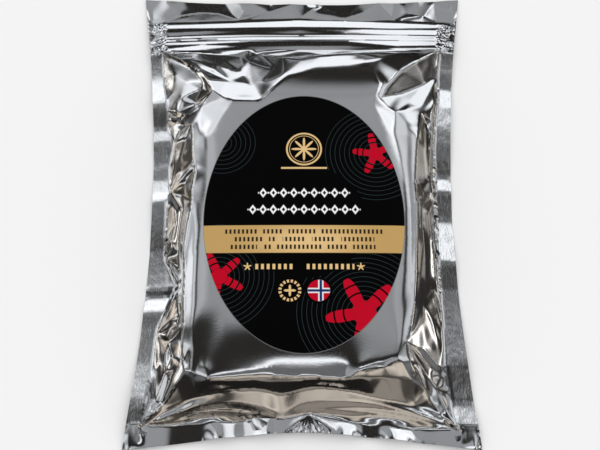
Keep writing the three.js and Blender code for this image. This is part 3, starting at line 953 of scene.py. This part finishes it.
def star(x, y, points, tip, waist, turned):
    """Distance to a star's edge: its arms reach the tip, and it is the waist wide between them."""
    a, b = across - x, up - y
    bearing = p.math("ARCTAN2", a, b) * points + turned
    arm = p.math("POWER", p.math("COSINE", bearing) * 0.5 + 0.5, 1.7)
    return (length(a, b) - waist - (tip - waist) * arm) * 0.45


def stroke_row(y, half_high, breaks, pitch):
    """A row of short upright strokes in groups, which end and start again at the breaks."""
    groups = [bar((a + b) / 2, y, (b - a) / 2, half_high) for a, b in zip(breaks[::2], breaks[1::2])]
    stroke = (abs(p.math("FRACT", (across - breaks[0]) / pitch) - 0.5) - 0.25) * pitch
    return inked(greatest(least(*groups), stroke))


def lozenges(y, count):
    """A row of hollow lozenges with dots between."""
    cell = (p.math("FRACT", across / ROW_PITCH + (0.5 if count % 2 else 0.0)) - 0.5) * ROW_PITCH
    within_row = abs(across) - count * ROW_PITCH / 2
    lozenge = (abs(cell) * 1.35 + abs(up - y) - 2.7) * 0.6
    hollow = (1.2 - (abs(cell) * 1.35 + abs(up - y))) * 0.6
    dot = length(abs(cell) - ROW_PITCH / 2, up - y) - 0.5
    return inked(greatest(least(greatest(lozenge, hollow), dot), within_row))


def over(under, colour, mask):
    """One ink printed over another."""
    return p.node("Mix", {"data_type": "RGBA"}, {0: mask, 6: under, 7: colour}, out=2)


# the starfish have joints across their arms, and the ripples run round them and one more place
starfish = []
nearest = length(across - RIPPLE_FROM[0], up - RIPPLE_FROM[1]) + 9.0
for x, y, tip, turned in STARFISH:
    from_middle = length(across - x, up - y)
    joint = 0.45 - abs(p.math("FRACT", from_middle / (tip * 0.24) + 0.35) - 0.5) * tip * 0.24
    joint = least(joint, from_middle - tip * 0.3)
    starfish.append(inked(greatest(joint, star(x, y, 5, tip, tip * 0.3, turned))))
    nearest = least(nearest, from_middle - (tip - 12.5))
red = greatest(*starfish)
clear = inked(length(across * 0.95, up + 1.0) - 31.0)  # the middle, which the ripples leave clear
line = inked(abs(p.math("FRACT", nearest / RIPPLE_PITCH) - 0.5) * RIPPLE_PITCH - 0.05)
ripples = line * inked(nearest - RIPPLE_PITCH * RIPPLES)

white = greatest(*(lozenges(y, count) for y, count in ROWS))
rose_out = length(across, up - ROSE[1])
rose_rings = greatest(*(inked(abs(rose_out - radius) - half) for radius, half in ROSE_RINGS))
gold_rose = greatest(rose_rings, inked(star(*ROSE, 8, 6.6, 1.6, 0.0)), inked(bar(*ROSE_BAR, 12, 0.5)))
ring_out = length(across - RING[0], up - RING[1])
ring_turn = p.math("ARCTAN2", across - RING[0], up - RING[1]) * (16 / (2 * math.pi))
dotted = greatest(abs(ring_out - 5.0) - 0.75, abs(p.math("FRACT", ring_turn) - 0.5) * 2.0 - 0.55)
gold_ring = greatest(inked(dotted), inked(star(*RING, 4, 3.0, 0.9, 0.0)))
row_stars = [inked(star(x, GOLD_ROW, 5, 2.1, 0.7, 0.0)) for x in ROW_STARS]
gold_row = greatest(stroke_row(GOLD_ROW, 1.4, GOLD_GROUPS, 2.9), *row_stars)
band = inked(bar(*BAND, 60, BAND_HALF))
on_band = greatest(*(stroke_row(y, 1.2, breaks, 2.15) for y, breaks in BAND_ROWS))
flag_out = length(across - FLAG[0], up - FLAG[1]) - FLAG_RADIUS
flag = inked(flag_out)
cross = least(abs(up - FLAG[1]), abs(across - FLAG[0] - 1.0))
around_signs = inked(least(flag_out - 1.2, ring_out - 7.2))

band_glow = p.rise(length(across - 2, (up + 12) * 3), 40.0, 4.0)  # the band is paler in the middle
from_edge = 1 - length(across / float(label_half[0]), up / float(label_half[1]))
inks = [
    (SLATE, ripples * (1 - clear) * (1 - around_signs)),
    (BLACK, around_signs),
    (RED, red * (1 - around_signs)),
    (PALE_GOLD, greatest(gold_rose, gold_ring, gold_row)),
    (over(GOLD, PALE_GOLD, band_glow), band),
    (BROWN, on_band),
    (WHITE, white),
    (RED, flag),
    (FLAG_WHITE, flag * inked(cross - 1.35)),
    (FLAG_BLUE, flag * inked(cross - 0.65)),
    (CUT_PAPER, inked(from_edge * float(label_half[0]) - 0.2)),
]
print_colour = BLACK
for colour, mask in inks:
    print_colour = over(print_colour, colour, mask)
finish = {"Base Color": print_colour, "Roughness": PRINT_ROUGHNESS, "Specular IOR Level": PRINT_SHEEN}
p.node("OutputMaterial", {}, {"Surface": p.node("BsdfPrincipled", {}, finish)})
label.data.materials.append(ink)
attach(label, "root")
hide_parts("label")

# ----------
# The stage: a sheet of white paper under the pouch, and a plain studio that the foil mirrors. Its
# lights are given by direction: climb runs from 0 at the back wall, over 90 overhead, to 180 in
# front, and turn from -90 at the left to 90 at the right.
PAPER_WHITE = (0.93, 0.93, 0.93, 1)
PAPER_ROUGHNESS = 0.9
WARM = (1.0, 0.88, 0.75, 1)
COOL = (0.93, 0.96, 1.0, 1)
BACKDROP = 0.98

bpy.ops.mesh.primitive_plane_add(size=6)
floor = bpy.context.object
floor.name = "floor"
paper = bpy.data.materials.new("paper")
paper.use_nodes = True
paper.node_tree.nodes["Principled BSDF"].inputs["Base Color"].default_value = PAPER_WHITE
paper.node_tree.nodes["Principled BSDF"].inputs["Roughness"].default_value = PAPER_ROUGHNESS
floor.data.materials.append(paper)
floor.visible_glossy = False

world = bpy.data.worlds.new("studio")
bpy.context.scene.world = world
w = empty(world)
direction = w.node("TexCoord", out=0)
right, back, up = (w.node("SeparateXYZ", {}, [direction], out=k) for k in range(3))
climb = w.math("DEGREES", w.math("ARCTAN2", up, back))
turn = w.math("DEGREES", w.math("ARCSINE", right))


def between(value, low, high, soft):
    """1 from low to high and 0 outside, with soft edges."""
    return w.rise(value, low - soft, low + soft) * w.rise(value, high + soft, high - soft)


def panel(climbs, turns):
    """1 inside a panel and 0 outside, from where it is in climb and turn, each with its softness."""
    return between(climb, *climbs) * between(turn, *turns)


def panels(climbs, turns):
    """The same for a panel and its like on the other side."""
    return between(climb, *climbs) * between(abs(turn), *turns)


def blotches(scale, detail, level, soft):
    """1 where noise is above a level and 0 elsewhere."""
    return between(w.noise(direction, scale, detail), level, 2, soft)


bright = blotches(2.6, 2.0, 0.5, 0.05)
streaks = blotches(4.0, 3.0, 0.46, 0.07)
middle = between(turn, -12, 12, 3)
beside = between(abs(turn), 13, 24, 2)
rims = between(abs(turn), 12, 22, 1.5) + between(abs(turn), 27.5, 36, 2)
windows = 1.6 * blotches(6.5, 1.0, 0.53, 0.06) + 3.0 * blotches(6.5, 1.0, 0.6, 0.04)
side = between(abs(turn), 62, 91, 6) * (0.05 + windows)
cool = (
    0.3 * between(climb, 59, 79, 3) * middle
    + 0.3 * between(climb, 50, 59, 4) * middle
    + 1.5 * between(climb, 94, 97, 1.5) * middle
    + 0.12 * between(climb, 98, 107, 2) * middle
    + 1.2 * between(climb, 109, 113, 1.5) * middle
    + beside * (0.7 * between(climb, 42, 60, 4) + 0.35 * between(climb, 98, 118, 6))
    + 0.75 * panels((42, 60, 4), (22.5, 27, 1))
    + 0.35 * panel((42, 60, 4), (13, 24, 2))
    + 0.08 * panel((52, 79, 3), (-24, -11, 2))
    + 1.1 * panel((17, 34.5, 2), (-20, 12, 4))
    + 0.6 * panel((40, 50, 4), (-30, -16, 4))
    + 1.05 * panel((8, 38, 4), (31, 54, 4))
    + (0.015 + 0.25 * blotches(9.0, 1.0, 0.58, 0.06)) * panel((-12, 14, 4), (-34, 8, 4))
    + 0.3 * panels((84, 95, 3), (27, 50, 3))
    + 0.6 * panel((38, 50, 3), (-60, -48, 3))
    + 0.12 * panel((-46, -14, 4), (6, 40, 5))
    + (0.45 + 0.55 * bright) * panel((40, 76, 6), (-57, -31, 5))
    + 0.4 * panel((40, 60, 4), (31, 44, 4))
    + (0.3 + 0.4 * bright) * panel((44, 78, 4), (31, 57, 4))
    + 0.7 * between(abs(turn), 27, 55, 4) * between(climb, 92, 112, 4)
    + 0.36 * between(climb, 57, 79, 3) * rims
    + 0.16 * panel((8, 46, 10), (-50, -34, 8))
    + 0.16 * panels((118, 180, 14), (42, 64, 10))
    + side * (0.2 * between(climb, 0, 44, 10) + 0.14 * between(climb, 44, 102, 10))
    + side * 0.3 * between(climb, -68, -30, 10)
)
warm = (
    0.012
    + (0.04 + 0.5 * streaks) * panel((120, 137, 4), (-30, 5, 4))
    + (0.04 + 0.5 * streaks) * panel((137, 146, 4), (-8, 5, 3))
    + (0.04 + 0.22 * blotches(4.0, 3.0, 0.5, 0.06)) * panel((150, 184, 5), (-5, 30, 3))
    + (0.1 + 0.55 * streaks) * panel((128, 150, 5), (6, 37, 4))
    + side * (0.2 * between(climb, -30, 44, 10) + 0.1 * between(climb, 44, 102, 10))
    + side * (0.3 * between(climb, 112, 160, 10) + 0.26 * between(climb, -150, -68, 10))
    + (0.05 + 0.5 * blotches(6.5, 1.0, 0.5, 0.07)) * panels((-160, -30, 10), (40, 60, 6))
)
low = w.node("Background", {}, {"Color": WARM, "Strength": warm})
high = w.node("Background", {}, {"Color": COOL, "Strength": cool})
lights = w.node("AddShader", {}, [low, high])
backdrop = w.node("Background", {}, {"Color": (1, 1, 1, 1), "Strength": BACKDROP})
mirrored = w.node("LightPath", out=3)
mixed = w.node("MixShader", {}, {0: mirrored, 1: backdrop, 2: lights})
w.node("OutputWorld", {}, {"Surface": mixed})

# ----------
# The camera, which looks down on the label from the foot of the pouch.
AIM = Vector((-1.1, -8.6, 0)) * MM
ELEVATION = math.radians(68.9)
DISTANCE = 0.64  # in metres
LENS = 71.7
SENSOR = 36
camera = bpy.data.objects.new("camera", bpy.data.cameras.new("camera"))
bpy.context.collection.objects.link(camera)
camera.data.lens = LENS
camera.data.sensor_width = SENSOR
camera.data.clip_start = 0.01
camera.location = AIM + DISTANCE * Vector((0, -math.cos(ELEVATION), math.sin(ELEVATION)))
camera.rotation_euler = (math.pi / 2 - ELEVATION, 0, 0)
bpy.context.scene.camera = camera
bpy.context.scene.view_settings.view_transform = "Standard"
